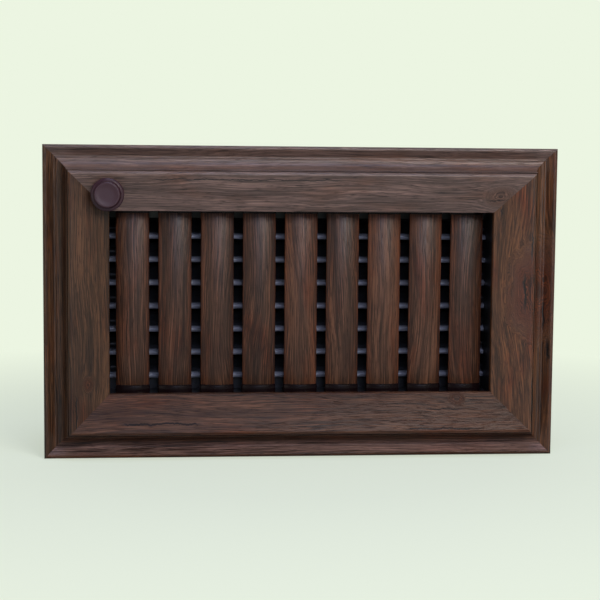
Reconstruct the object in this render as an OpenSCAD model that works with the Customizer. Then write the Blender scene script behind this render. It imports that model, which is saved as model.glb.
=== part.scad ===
// Wooden air vent: a mitred picture-frame moulding round a black duct neck,
// nine upright wooden slats that turn by hand, and seven ribbed damper blades
// behind them, turned together by a knob through a rack and pinions.
// X runs to the right, Y runs into the wall, Z is up. Y = 0 is the wall surface,
// and the origin is the middle of the frame on it.

/* [Frame] */
// Overall width of the wooden frame
frame_w = 500; // [450:5:650]
// Overall height of the wooden frame
frame_h = 303; // [260:1:380]
// Width of each rail, from the outer edge to the edge of the opening
rail_w = 63; // [58:0.5:75]
// Height of the narrow bead that runs round the outer edge
outer_bead_h = 9.6; // [8:0.1:11]
// Height of the inner bead, the highest line of the moulding
crest_h = 26.8; // [25:0.1:32]
// Height of the lip at the edge of the opening
lip_h = 10.5; // [9:0.1:14]
// Depth of the rebate behind the lip
rebate_d = 3.5; // [3.4:0.1:4.5]
// Clearance between the neck's flanges and the end of the rebate
seat_gap = 1.5; // [1:0.1:3]

/* [Neck] */
// How far the neck's side walls stand back from the edge of the opening
wall_setback = 2.5; // [1:0.1:5]
// Thickness of the side walls, which carry the blades
side_wall_t = 3; // [2.5:0.1:5]
// How far the top and bottom walls stand back from the edge of the opening
pivot_setback = 3; // [2:0.1:5]
// Thickness of the top and bottom walls, which carry the slats
pivot_wall_t = 2.5; // [2:0.1:4]
// How far the neck reaches behind the open blades
neck_behind = 3.6; // [2:0.1:60]
// Width of the flanges that are screwed to the rails
flange_w = 13; // [11:0.5:16]
// Thickness of those flanges
flange_t = 3; // [2.5:0.1:3.2]
// Distance between the two fixing holes in the top wall, and in the bottom wall
fixing_span = 240; // [120:5:300]
// Diameter of the fixing holes
fixing_d = 4.5; // [3.5:0.1:6]

/* [Front slats] */
// Number of upright slats
slat_count = 9; // [5:1:9]
// Gap between an end slat and the edge of the opening
slat_end_gap = 5.6; // [2:0.1:12]
// Width of a slat
slat_w = 32.4; // [26:0.1:34]
// Thickness of a slat at its middle
slat_t = 10.5; // [8:0.1:13]
// Radius of a slat's long edges
slat_edge_r = 1.8; // [1:0.1:2.5]
// Gap between the lip and a slat that is turned edge-on
slat_turn_gap = 1.7; // [0.5:0.1:6]
// Height of a foot cap, which shows below the wood
foot_cap_h = 8.2; // [5:0.1:10]
// Height of a head cap, hidden behind the top lip
head_cap_h = 5.2; // [4:0.1:8]
// How far the caps stand proud of the wood all round
cap_proud = 0.6; // [0.3:0.1:1]
// Diameter of the pins that a slat turns on
slat_pin_d = 6; // [4:0.5:7]
// Diameter of the spigot that holds a cap in the wood
spigot_d = 8; // [5:0.5:8]
// Length of that spigot
spigot_l = 12; // [6:1:20]

/* [Damper blades] */
// Number of damper blades
blade_count = 7; // [3:1:7]
// Height of the ledges that the end blades close against
stop_h = 11.3; // [4:0.1:20]
// How far a closed end blade laps over its ledge
stop_lap = 1.8; // [1:0.1:3]
// Gap between open blades and slats that are turned edge-on
blade_turn_gap = 0.8; // [0.5:0.1:20]
// Tilt of the blades in the stored position, from flat
blade_tilt = 45; // [30:1:60]
// How far the middle of a front bead stays short of half the blade spacing
front_short = 0.6; // [0.4:0.1:2]
// How far a blade's rear edge reaches past half the blade spacing
rear_over = 0.8; // [0.2:0.1:1]
// Radius of the front bead
bead_r = 2.4; // [1.8:0.1:2.6]
// Thickness of a blade between its ribs
blade_t = 1.5; // [1.2:0.1:2]
// Height of the fine ribs along a blade
rib_h = 0.5; // [0.3:0.1:0.6]
// Number of ribs on each face
rib_count = 5; // [3:1:6]
// Diameter of the journals at the blades' ends
journal_d = 5; // [4:0.5:6]

/* [Drive] */
// Gap between the knob's pinion and the top wall
knob_gap = 3.2; // [3:0.1:6]
// Diameter of the knob's base
knob_d = 31.5; // [26:0.5:32]
// Diameter of the knob's front
knob_front_d = 25; // [20:0.5:25]
// Length of the knob
knob_l = 16; // [12:0.5:20]
// Diameter of the knob's shaft
shaft_d = 6; // [5:0.5:7]
// Length of the hub that keeps each pinion off the side wall
hub_l = 2.8; // [1:0.1:6]
// Teeth on each pinion
pinion_teeth = 12; // [12:1:13]
// Rack teeth from one blade to the next
teeth_per_pitch = 7; // [7:1:8]
// Width of the pinions
pinion_w = 5; // [4:0.5:6]
// Thickness of the rack bar behind its teeth
rack_t = 7.4; // [5:0.1:8]

/* [Hidden] */

$fn = 64;
// Overshoot of a cut past the face it opens
cut = 1;
// Radial clearance of every pin and shaft that turns
run = 0.05;
// Gap between parts that move past each other
gap = 0.3;

WOOD = [0.33, 0.25, 0.21];
CAP = [0.16, 0.07, 0.08];
BLACK = [0.08, 0.09, 0.10];
MAROON = [0.30, 0.14, 0.18];
STEEL = [0.66, 0.67, 0.69];
BRASS = [0.70, 0.58, 0.32];
NATURAL = [0.80, 0.79, 0.74];

// Opening between the lips
open_w = frame_w - 2 * rail_w;
open_h = frame_h - 2 * rail_w;
// Back face of the lip, which the walls' flanges seat on
seat_y = -rebate_d;

// Inner and outer faces of the neck
neck_in_x = open_w / 2 + wall_setback;
neck_in_z = open_h / 2 + pivot_setback;
neck_out_x = neck_in_x + side_wall_t;
neck_out_z = neck_in_z + pivot_wall_t;
// Distance from a rail's outer edge to its rebate
rebate_s = rail_w - max(wall_setback + side_wall_t, pivot_setback + pivot_wall_t) - flange_w - seat_gap;
// Bosses round the slats' pins
boss_d = slat_pin_d + 6;
boss_h = 3;

// Slats: spacing, depth of their axes, and the middle of a slat's round edge
slat_pitch = (open_w - 2 * slat_end_gap - slat_w) / (slat_count - 1);
slat_y = seat_y + slat_turn_gap + cap_proud + slat_w / 2;
slat_edge_x = slat_w / 2 - slat_edge_r;
// Wood of a slat, from the foot cap up to the head cap
wood_low = -neck_in_z + gap + foot_cap_h;
wood_high = neck_in_z - gap - head_cap_h;

// Blades: spacing, reach in front of and behind their axes, and depth of those axes
blade_pitch = 2 * (neck_in_z - stop_h + stop_lap - rear_over) / blade_count;
blade_front = blade_pitch / 2 - front_short;
blade_rear = blade_pitch / 2 + rear_over;
blade_y = slat_y + slat_w / 2 + cap_proud + blade_turn_gap + bead_r + blade_front;
// Blades fill the width between the side walls
blade_l = 2 * (neck_in_x - gap);
// Depth of the neck behind the wall surface
neck_d = blade_y + blade_rear + neck_behind;
// Angle of a closed blade from flat
closed_tilt = 81;

// X of each slat's axis, and Z of each blade's axis
function slat_x(i) = (i - (slat_count + 1) / 2) * slat_pitch;
function blade_z(i) = ((blade_count + 1) / 2 - i) * blade_pitch;

// Gears: the module follows from the blade spacing
gear_m = blade_pitch / teeth_per_pitch / PI;
pitch_r = gear_m * pinion_teeth / 2;
pressure = 25;
backlash = 0.14;
addendum = 0.95 * gear_m;
dedendum = 1.2 * gear_m;

// Blade pinions stand off the side wall by their hubs
pinion_x1 = -neck_out_x - gap - hub_l;
pinion_x0 = pinion_x1 - pinion_w;
hub_r = journal_d / 2 + 1.7;
// Rack: one row of teeth faces the blades' pinions, the other the knob's
rack_y1 = blade_y - pitch_r - dedendum;
rack_y0 = rack_y1 - rack_t;
rack_x1 = pinion_x1;
rack_x0 = rack_x1 - pinion_w - gap;
// The knob's axis stands over the top wall, its pinion beside the rack
knob_x = rack_x1 + pitch_r + dedendum;
knob_z = neck_out_z + knob_gap + pitch_r + addendum;
// The rack reaches past the lowest blade and past the knob
rack_low = blade_z(blade_count) - 10;
rack_high = knob_z + 8;

// Countersunk screws
screw_head_r = 3.4;
screw_r = 1.6;
cone_h = screw_head_r - screw_r;

// Points on an oval, and on an arc, from a0 to a1 degrees
function oval(cx, cy, rx, ry, a0, a1, n) =
    [for (i = [0 : n]) let (a = a0 + (a1 - a0) * i / n) [cx + rx * cos(a), cy + ry * sin(a)]];
function arc(cx, cy, r, a0, a1, n) = oval(cx, cy, r, r, a0, a1, n);

// Moulding, drawn from the outer edge inwards: s is the distance from the outer
// edge and h the height above the wall
bead1_r = 2.4;
// Slope from the outer bead down into the cove
slope_a = 63;
// Cove: lowest point, half width, and the height it rises to under the crest
cove_s = 13.3;
cove_low = outer_bead_h - 4.6;
cove_rx = 9.5;
cove_high = crest_h - 6.6;
cove_a0 = 252;
// Groove between the cove and the crest bead
groove_s = 23;
groove_low = crest_h - 4.4;
groove_high = crest_h - 3;
bead2_r = 2.9;
bead2_s = 27.3;
bead2_h = crest_h - bead2_r;
// Sloping face, from the crest bead, which it touches, to the round of the lip
lip_r = 1.4;
face_end_s = rail_w - 1.4 * lip_r;
face_end_h = lip_h + 0.5;
face_a = atan((face_end_s - bead2_s) / (crest_h - face_end_h));
face_s = bead2_s + bead2_r * cos(face_a);
face_h = bead2_h + bead2_r * sin(face_a);
function face_at(s) = face_h + (face_end_h - face_h) * (s - face_s) / (face_end_s - face_s);

function moulding() = concat(
    [[0, 0], [0, outer_bead_h - bead1_r]],
    arc(bead1_r, outer_bead_h - bead1_r, bead1_r, 180, slope_a, 10),
    oval(cove_s, cove_high, cove_rx, cove_high - cove_low, cove_a0, 356, 20),
    [[groove_s, groove_high - 0.6], [groove_s + 0.6, groove_high], [groove_s + 1, groove_low]],
    arc(bead2_s, bead2_h, bead2_r, 180, face_a, 10),
    [[face_end_s, face_end_h]],
    arc(rail_w - lip_r, lip_h - lip_r, lip_r, 70, 0, 5),
    [[rail_w, rebate_d], [rebate_s, rebate_d], [rebate_s, 0]]
);

// A pilot hole or a screw points along Y, from the back towards the room
module along_y(y0, y1, r) {
    translate([0, y0, 0]) rotate([-90, 0, 0]) cylinder(h = y1 - y0, r = r);
}

// One rail lying along X with its outer edge at Z = 0, its ends mitred
module rail(len) {
    intersection() {
        rotate([0, -90, 180])
            linear_extrude(height = len + 2 * cut, center = true)
                polygon(moulding());
        rotate([90, 0, 0])
            linear_extrude(height = 4 * crest_h, center = true)
                polygon([[-len / 2, 0], [len / 2, 0],
                    [len / 2 - rail_w, rail_w], [-len / 2 + rail_w, rail_w]]);
    }
}

// Steel plates let into the back of each corner
plate_w = 12;
plate_s = rebate_s - 4 - plate_w;
plate_arm = 44;
plate_t = 2;
plate_screws = [20, 36];

// Places a child at each corner, with the corner's two edges along +X and +Z
module at_corners() {
    for (c = [[-1, -1, 0], [1, -1, 270], [1, 1, 180], [-1, 1, 90]])
        translate([c[0] * frame_w / 2, 0, c[1] * frame_h / 2])
            rotate([0, c[2], 0])
                children();
}

module corner_plate(t) {
    for (a = [[plate_arm, plate_w], [plate_w, plate_arm]])
        translate([plate_s, -t, plate_s]) cube([a[0], t, a[1]]);
}

module plate_holes() {
    for (d = plate_screws) {
        translate([plate_s + d, 0, plate_s + plate_w / 2]) children();
        translate([plate_s + plate_w / 2, 0, plate_s + d]) children();
    }
}

// Countersunk screw with its head's top at Y = 0
module screw(l) {
    translate([0, -cone_h, 0]) rotate([-90, 0, 0]) cylinder(h = cone_h, r1 = screw_r, r2 = screw_head_r);
    along_y(-l, -cone_h, screw_r);
}

plate_screw_l = 14;
neck_screw_l = flange_t + 7;
// Back face of the flanges, and the screws along them
flange_y = seat_y + flange_t;
flange_mid = flange_w / 2;
function spread(n, w) = [for (i = [0 : n - 1]) -w / 2 + w * i / (n - 1)];
long_screws = spread(4, open_w - 90);
short_screws = spread(3, open_h - 50);

// The screws that hold the neck, head at the flanges' back face
module at_neck_screws() {
    for (x = long_screws)
        for (s = [-1, 1])
            translate([x, flange_y, s * (neck_out_z + flange_mid)]) children();
    for (z = short_screws)
        for (s = [-1, 1])
            translate([s * (neck_out_x + flange_mid), flange_y, z]) children();
}

// What is cut from the back of every rail
module rail_cuts() {
    at_corners() {
        corner_plate(plate_t);
        plate_holes() along_y(-plate_screw_l, 0, screw_r);
    }
    at_neck_screws() along_y(-neck_screw_l, 0, screw_r);
}

module top_rail() {
    color(WOOD)
        difference() {
            translate([0, 0, frame_h / 2]) rotate([0, 180, 0]) rail(frame_w);
            rail_cuts();
            translate([knob_x, 0, knob_z]) {
                along_y(-crest_h - cut, cut, bush_r);
                along_y(-crest_h - cut, -bush_seat, collar_r + gap);
            }
        }
}

module bottom_rail() {
    color(WOOD)
        difference() {
            translate([0, 0, -frame_h / 2]) rail(frame_w);
            rail_cuts();
        }
}

module left_rail() {
    color(WOOD)
        difference() {
            translate([-frame_w / 2, 0, 0]) rotate([0, 90, 0]) rail(frame_h);
            rail_cuts();
        }
}

module right_rail() {
    color(WOOD)
        difference() {
            translate([frame_w / 2, 0, 0]) rotate([0, -90, 0]) rail(frame_h);
            rail_cuts();
        }
}

module corner_plates() {
    color(STEEL)
        difference() {
            at_corners() corner_plate(plate_t);
            at_corners() plate_holes() screw(plate_screw_l);
        }
}

module corner_screws() {
    color(BRASS)
        at_corners() plate_holes() screw(plate_screw_l);
}

module neck_screws() {
    color(BRASS)
        at_neck_screws() screw(neck_screw_l);
}

// Tongues of the top and bottom walls sit in notches of the side walls
tongues_y = [slat_y + 3, blade_y];
tongue_w = 12;
// Ledges that the end blades close against, and their front faces: the top blade
// closes behind its ledge, and the bottom blade's bead in front of its own
stop_t = 1.8;
top_stop_y = blade_y - 1 - stop_t;
bottom_stop_y = blade_y - blade_front * cos(closed_tilt) + bead_r + 0.5;

// Depth of the fixing holes behind the wall surface
fixing_y = neck_d - 8;

// A wall between the side walls, drawn as the top one; side is 1 above and -1 below
module pivot_wall(side) {
    difference() {
        union() {
            translate([-neck_in_x, seat_y, neck_in_z])
                cube([2 * neck_in_x, neck_d - seat_y, pivot_wall_t]);
            translate([-neck_in_x, seat_y, neck_in_z])
                cube([2 * neck_in_x, flange_t, pivot_wall_t + flange_w]);
            for (y = tongues_y)
                translate([-neck_out_x, y, neck_in_z]) cube([2 * neck_out_x, tongue_w, pivot_wall_t]);
            translate([-neck_in_x, side > 0 ? top_stop_y : bottom_stop_y, neck_in_z - stop_h])
                cube([2 * neck_in_x, stop_t, stop_h + pivot_wall_t / 2]);
            for (i = [1 : slat_count])
                translate([slat_x(i), slat_y, neck_in_z]) cylinder(h = pivot_wall_t + boss_h, d = boss_d);
        }
        for (i = [1 : slat_count])
            translate([slat_x(i), slat_y, neck_in_z - cut])
                cylinder(h = pivot_wall_t + boss_h + 2 * cut, r = slat_pin_d / 2 + run);
        for (x = [-fixing_span / 2, fixing_span / 2])
            translate([x, fixing_y, neck_in_z - cut]) cylinder(h = pivot_wall_t + 2 * cut, d = fixing_d);
    }
}

module top_wall() {
    color(BLACK)
        difference() {
            pivot_wall(1);
            at_neck_screws() screw(neck_screw_l);
            // notch for the knob's shaft, open towards the side wall's flange
            translate([knob_x, 0, knob_z]) {
                along_y(seat_y - cut, flange_y + cut, bush_r);
                translate([-boss_d, seat_y - cut, -bush_r]) cube([boss_d, flange_t + 2 * cut, 2 * bush_r]);
            }
            bracket_screw_places() cylinder(h = 2 * pivot_wall_t, r = small_screw_r, center = true);
        }
}

module bottom_wall() {
    color(BLACK)
        difference() {
            rotate([0, 180, 0]) pivot_wall(-1);
            at_neck_screws() screw(neck_screw_l);
        }
}

// A side wall, drawn as the left one
module side_wall() {
    difference() {
        union() {
            translate([-neck_out_x, seat_y, -neck_out_z])
                cube([side_wall_t, neck_d - seat_y, 2 * neck_out_z]);
            translate([-neck_out_x - flange_w, seat_y, -neck_out_z])
                cube([flange_w + side_wall_t, flange_t, 2 * neck_out_z]);
        }
        for (i = [1 : blade_count])
            translate([-neck_out_x - cut, blade_y, blade_z(i)])
                rotate([0, 90, 0]) cylinder(h = side_wall_t + 2 * cut, r = journal_d / 2 + run);
        for (y = tongues_y)
            for (s = [-1, 1])
                translate([-neck_out_x - cut, y, s > 0 ? neck_in_z : -neck_out_z - cut])
                    cube([side_wall_t + 2 * cut, tongue_w, pivot_wall_t + cut]);
    }
}

module left_wall() {
    color(BLACK)
        difference() {
            side_wall();
            at_neck_screws() screw(neck_screw_l);
            guide_places() guide_hole(side_wall_t + cut);
        }
}

module right_wall() {
    color(BLACK)
        difference() {
            mirror([1, 0, 0]) side_wall();
            at_neck_screws() screw(neck_screw_l);
        }
}

// Lens section with round edges, grown all round by g: two broad arcs of n steps,
// each running smoothly into the round edges
function lens(g, n) = let (
        e = slat_edge_r + g,
        t = slat_t + 2 * g,
        r = (slat_edge_x * slat_edge_x + t * t / 4 - e * e) / (t - 2 * e),
        a = asin(slat_edge_x / (r - e))
    )
    concat(
        arc(0, t / 2 - r, r, 90 + a, 90 - a, n),
        arc(slat_edge_x, 0, e, 90 - a, a - 90, 8),
        arc(0, r - t / 2, r, a - 90, -a - 90, n),
        arc(-slat_edge_x, 0, e, 270 - a, 90 + a, 8));

module slat(i) {
    color(WOOD)
        translate([slat_x(i), slat_y, 0])
            difference() {
                translate([0, 0, wood_low]) linear_extrude(height = wood_high - wood_low) polygon(lens(0, 24));
                for (z = [wood_low - cut, wood_high - spigot_l - gap])
                    translate([0, 0, z]) cylinder(h = spigot_l + cut + gap, r = spigot_d / 2 + run);
            }
}

// A cap with its seat at Z = 0: spigot up into the wood, pin down into the wall
module slat_cap(h) {
    lip = 1;
    translate([0, 0, -h]) linear_extrude(height = h - lip) polygon(lens(cap_proud, 14));
    translate([0, 0, -lip]) linear_extrude(height = lip) polygon(lens(cap_proud / 2, 14));
    cylinder(h = spigot_l, d = spigot_d);
    translate([0, 0, -h - gap - pivot_wall_t - boss_h]) cylinder(h = gap + pivot_wall_t + boss_h, d = slat_pin_d);
}

module foot_cap(i) {
    color(CAP)
        translate([slat_x(i), slat_y, wood_low]) slat_cap(foot_cap_h);
}

module head_cap(i) {
    color(CAP)
        translate([slat_x(i), slat_y, wood_high]) rotate([0, 180, 0]) slat_cap(head_cap_h);
}

// Blade section lying flat: front bead towards -Y, rear edge towards +Y
module blade_section() {
    rib_from = bead_r + 1.2;
    translate([-blade_front, 0]) circle(r = bead_r, $fn = 32);
    translate([-blade_front, -blade_t / 2]) square([blade_front + blade_rear - blade_t / 2, blade_t]);
    translate([blade_rear - blade_t / 2, 0]) circle(r = blade_t / 2, $fn = 24);
    circle(d = journal_d, $fn = 32);
    for (s = [-1, 1])
        for (k = [0 : rib_count - 1])
            translate([s > 0 ? rib_from + k * rib_step : -rib_from - k * rib_step, 0])
                if (s > 0 || k < rib_count - 2)
                    square([rib_w, blade_t + 2 * rib_h], center = true);
}
rib_w = 0.9;
rib_step = (blade_rear - bead_r - 2.4) / rib_count;

module blade(i) {
    color(BLACK)
        translate([0, blade_y, blade_z(i)])
            rotate([blade_tilt, 0, 0]) {
                translate([-blade_l / 2, 0, 0]) rotate([90, 0, 90]) linear_extrude(height = blade_l) blade_section();
                translate([-journal_l - blade_l / 2, 0, 0]) rotate([0, 90, 0]) cylinder(h = journal_l + cut, d = journal_d);
                translate([blade_l / 2 - cut, 0, 0]) rotate([0, 90, 0])
                    cylinder(h = gap + side_wall_t + cut, d = journal_d);
            }
}

// The left journals reach through the wall and the pinions
journal_l = -pinion_x0 - blade_l / 2;

// Involute gear outline with a tooth space centred on the -X side
function involute(a) = tan(a) * 180 / PI - a;
function tooth_half(r) = let (rb = pitch_r * cos(pressure))
    (PI * gear_m / 2 - backlash) / 2 / pitch_r * 180 / PI
    + involute(pressure) - (r > rb ? involute(acos(rb / r)) : 0);
flank_n = 4;
function gear_outline() = let (
        r0 = pitch_r - dedendum,
        rb = max(r0, pitch_r * cos(pressure)),
        r1 = pitch_r + addendum,
        step = 360 / pinion_teeth,
        rs = concat([r0], [for (k = [0 : flank_n]) rb + (r1 - rb) * k / flank_n])
    )
    [for (t = [0 : pinion_teeth - 1])
        let (mid = 180 + step / 2 + t * step)
            for (p = concat(
                    [for (k = [0 : len(rs) - 1]) [rs[k], -tooth_half(rs[k])]],
                    [for (k = [len(rs) - 1 : -1 : 0]) [rs[k], tooth_half(rs[k])]]))
                [p[0] * cos(mid + p[1]), p[0] * sin(mid + p[1])]];

module gear(w, bore_r) {
    linear_extrude(height = w)
        difference() {
            polygon(gear_outline());
            circle(r = bore_r);
        }
}

// Pinion on a blade's journal, with the tooth space towards the rack at -Y
module blade_pinion(i) {
    color(NATURAL)
        translate([pinion_x0, blade_y, blade_z(i)])
            rotate([0, 90, 0]) {
                rotate([0, 0, 90]) gear(pinion_w, journal_d / 2);
                difference() {
                    translate([0, 0, pinion_w]) cylinder(h = hub_l, r = hub_r);
                    cylinder(h = 3 * pinion_w, r = journal_d / 2);
                }
            }
}

// Rack teeth in the XY plane: pitch line on X = 0, teeth towards +X, n either side of Y = 0
function rack_tooth(y) = let (
        half = (PI * gear_m / 2 - backlash) / 2,
        a = addendum * tan(pressure),
        d = dedendum * tan(pressure)
    ) [[-dedendum, y - half - d], [addendum, y - half + a], [addendum, y + half - a], [-dedendum, y + half + d]];
function rack_teeth(low, high) = [for (k = [low : high]) for (p = rack_tooth(k * PI * gear_m)) p];

rack_side_low = -ceil((blade_count - 1) / 2 * teeth_per_pitch) - 3;
rack_knob_low = -2;
rack_knob_high = 2;

module rack_bar() {
    color(NATURAL) {
        translate([rack_x0, rack_y0, rack_low]) cube([rack_x1 - rack_x0, rack_y1 - rack_y0, rack_high - rack_low]);
        // teeth towards the blades' pinions
        translate([rack_x0, blade_y - pitch_r, 0])
            rotate([0, 90, 0]) rotate([0, 0, 90])
                linear_extrude(height = rack_x1 - rack_x0)
                    polygon(concat(
                        [[-dedendum - cut, (rack_side_low - 0.5) * PI * gear_m]],
                        rack_teeth(rack_side_low, -rack_side_low),
                        [[-dedendum - cut, (0.5 - rack_side_low) * PI * gear_m]]));
        // teeth towards the knob's pinion
        translate([knob_x - pitch_r, rack_y1, knob_z])
            rotate([90, 0, 0])
                linear_extrude(height = rack_y1 - rack_y0)
                    polygon(concat(
                        [[-dedendum - cut, (rack_knob_low - 0.5) * PI * gear_m]],
                        rack_teeth(rack_knob_low, rack_knob_high),
                        [[-dedendum - cut, (rack_knob_high + 0.5) * PI * gear_m]]));
    }
}

// Two loops screwed to the left wall guide the rack between pinions
guide_h = 6.6;
guide_wall = 2.8;
guide_foot = 9;
small_screw_r = 1.4;
guide_z = blade_pitch * (blade_count - 2) / 2;
guide_y0 = rack_y0 - gap - guide_wall;
guide_y1 = blade_y - pitch_r + addendum + gap + guide_wall;
guide_x0 = rack_x0 - gap - guide_wall;

module guide_places() {
    for (s = [-1, 1])
        translate([-neck_out_x, 0, s * guide_z]) children();
}

module guide_hole(depth) {
    translate([-guide_wall, guide_y0 - guide_foot / 2, 0])
        rotate([0, 90, 0]) cylinder(h = guide_wall + depth, r = small_screw_r);
}

module rack_guides() {
    color(BLACK)
        difference() {
            guide_places() {
                translate([guide_x0 + neck_out_x, guide_y0, -guide_h / 2])
                    cube([-neck_out_x - guide_x0, guide_y1 - guide_y0, guide_h]);
                translate([-guide_wall, guide_y0 - guide_foot, -guide_h / 2])
                    cube([guide_wall, guide_foot + cut, guide_h]);
            }
            translate([rack_x0 - gap, rack_y0 - gap, -frame_h])
                cube([rack_x1 - rack_x0 + 2 * gap, guide_y1 - guide_wall - rack_y0 + gap, 2 * frame_h]);
            guide_places() guide_hole(side_wall_t);
        }
}

// Knob, shaft and its bearings: the bush's collar sits in a spot face of the slope
bush_r = shaft_d / 2 + 1.5;
collar_r = bush_r + 2.5;
bush_seat = face_at(frame_h / 2 - knob_z + collar_r);
knob_back = face_at(frame_h / 2 - knob_z - knob_d / 2) + 0.5;
knob_bore = knob_l - 5;
shaft_front = knob_back + knob_bore;
bracket_t = 3;
bracket_y = rack_y1 + 2.2;
shaft_end = bracket_y + bracket_t + 3;

module knob_profile() {
    rb = knob_d / 2;
    rf = knob_front_d / 2;
    polygon(concat(
        [[0, 0], [rb - 1, 0], [rb, 1], [rb, 4.2]],
        arc(rb - 1.8, 4.2, 1.8, 0, 60, 5),
        [[rf + 0.6, 6.6], [rf + 0.2, 7.6], [rf, knob_l - 1.7]],
        arc(rf - 1.7, knob_l - 1.7, 1.7, 0, 100, 7),
        [[rf - 3.6, knob_l - 0.5], [rf / 2, knob_l - 1], [0, knob_l - 1.2]]));
}

module knob() {
    color(MAROON)
        translate([knob_x, -knob_back, knob_z])
            rotate([90, 0, 0])
                difference() {
                    rotate_extrude($fn = 96) knob_profile();
                    translate([0, 0, -cut]) cylinder(h = knob_bore + cut, d = shaft_d);
                }
}

module knob_shaft() {
    color(STEEL)
        translate([knob_x, 0, knob_z]) along_y(-shaft_front, shaft_end, shaft_d / 2);
}

module knob_pinion() {
    color(NATURAL)
        translate([knob_x, rack_y1, knob_z]) rotate([90, 0, 0]) gear(rack_t, shaft_d / 2);
}

module knob_bush() {
    color(NATURAL)
        translate([knob_x, 0, knob_z])
            difference() {
                union() {
                    along_y(-bush_seat - cut, seat_y, bush_r);
                    along_y(-knob_back + gap, -bush_seat, collar_r);
                }
                along_y(-2 * crest_h, crest_h, shaft_d / 2 + run);
            }
}

// Bracket on the top wall that carries the shaft's inner end
bracket_w = 14;
bracket_foot = 13;
module bracket_screw_places() {
    translate([-neck_in_x + bracket_w + 3, bracket_y + bracket_foot - 4, neck_out_z]) children();
    translate([-neck_in_x + 5, bracket_y + bracket_foot - 4, neck_out_z]) children();
}

module shaft_bracket() {
    color(STEEL)
        difference() {
            union() {
                translate([knob_x - bracket_w / 2 + 1, bracket_y, neck_out_z])
                    cube([bracket_w - 2, bracket_t, knob_z - neck_out_z]);
                translate([knob_x, 0, knob_z]) along_y(bracket_y, bracket_y + bracket_t, bracket_w / 2 - 1);
                translate([-neck_in_x, bracket_y, neck_out_z]) cube([bracket_w + 8, bracket_foot, 1.6]);
            }
            translate([knob_x, 0, knob_z]) along_y(bracket_y - cut, bracket_y + bracket_t + cut, shaft_d / 2 + run);
            bracket_screw_places() cylinder(h = 4 * cut, r = small_screw_r);
        }
}

// Pan-head screws of the bracket and the guides
module pan_screw(l) {
    cylinder(h = 1.6, r = 2.6);
    translate([0, 0, -l]) cylinder(h = l, r = small_screw_r);
}

module drive_screws() {
    color(BRASS) {
        bracket_screw_places() translate([0, 0, 1.6]) pan_screw(1.6 + pivot_wall_t);
        guide_places()
            translate([-guide_wall, guide_y0 - guide_foot / 2, 0]) rotate([0, -90, 0]) pan_screw(guide_wall + side_wall_t);
    }
}

top_rail();
bottom_rail();
left_rail();
right_rail();
corner_plates();
corner_screws();
top_wall();
bottom_wall();
left_wall();
right_wall();
neck_screws();
for (i = [1 : slat_count]) {
    slat(i);
    foot_cap(i);
    head_cap(i);
}
for (i = [1 : blade_count]) {
    blade(i);
    blade_pinion(i);
}
knob();
knob_shaft();
knob_pinion();
knob_bush();
shaft_bracket();
rack_bar();
rack_guides();
drive_screws();
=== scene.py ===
# %% [markdown]
# # A wooden air vent
#
# This lesson dresses the CAD model of a wall air vent: a mitred wooden frame, nine upright
# slats that turn by hand, and seven ribbed blades behind them that a knob turns together.
# The CAD part gives every place and size. Blender adds what the eye reads as real: rounded
# edges, wood grain that follows each rail, glossy plastic caps, and screws with a cross recess.
#
# X runs to the right, Y runs into the wall and Z is up. All lengths are metres, so a helper
# turns millimetres into metres.

# %% Load the CAD frame
import math

import bmesh
import bpy
from mathutils import Matrix, Vector


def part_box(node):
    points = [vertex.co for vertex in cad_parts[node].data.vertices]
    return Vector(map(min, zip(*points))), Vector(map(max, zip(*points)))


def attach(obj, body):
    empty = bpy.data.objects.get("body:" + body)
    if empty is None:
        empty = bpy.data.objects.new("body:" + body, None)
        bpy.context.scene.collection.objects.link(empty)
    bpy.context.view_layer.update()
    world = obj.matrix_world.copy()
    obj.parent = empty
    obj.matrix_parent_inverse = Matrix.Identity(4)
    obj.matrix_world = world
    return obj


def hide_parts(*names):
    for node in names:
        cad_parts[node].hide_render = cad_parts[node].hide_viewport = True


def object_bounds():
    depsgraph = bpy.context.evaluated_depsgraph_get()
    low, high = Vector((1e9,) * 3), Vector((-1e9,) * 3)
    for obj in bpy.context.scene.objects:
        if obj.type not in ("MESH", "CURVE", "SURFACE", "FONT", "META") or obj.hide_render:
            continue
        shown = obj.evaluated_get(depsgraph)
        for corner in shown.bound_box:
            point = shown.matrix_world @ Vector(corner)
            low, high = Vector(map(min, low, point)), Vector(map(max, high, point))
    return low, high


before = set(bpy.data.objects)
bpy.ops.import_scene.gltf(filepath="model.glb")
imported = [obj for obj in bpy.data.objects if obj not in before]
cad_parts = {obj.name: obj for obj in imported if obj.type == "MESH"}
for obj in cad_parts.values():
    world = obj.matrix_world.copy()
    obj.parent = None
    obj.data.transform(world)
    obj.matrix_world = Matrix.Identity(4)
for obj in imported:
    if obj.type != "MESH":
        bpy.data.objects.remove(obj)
cad_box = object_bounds()
scene = bpy.context.scene
scene.view_settings.view_transform = "Standard"


def mm(*values):
    """Millimetres as metres: one number, or a vector for three."""
    if len(values) == 1:
        return values[0] / 1000
    return Vector(values) / 1000


for end, corner in zip(("lowest", "highest"), cad_box):
    print(end, "corner of the CAD box:", [round(v, 4) for v in corner])

# %% [markdown]
# ## The camera
#
# A camera can be placed by eye, or worked out from the photograph. Here the corners of the
# frame, the opening and the slats were matched to about a pixel, which gives one place, one
# direction and one lens. It stands a metre and a half away, a little to the left and just
# above the top rail. The last half degree is roll, the small turn of a hand-held camera.

# %% Place the camera
eye = mm(-142.3, -1462.2, 139.7)
ahead = Vector((0.0951, 0.9910, -0.0941))
roll_degrees = 0.505

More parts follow.
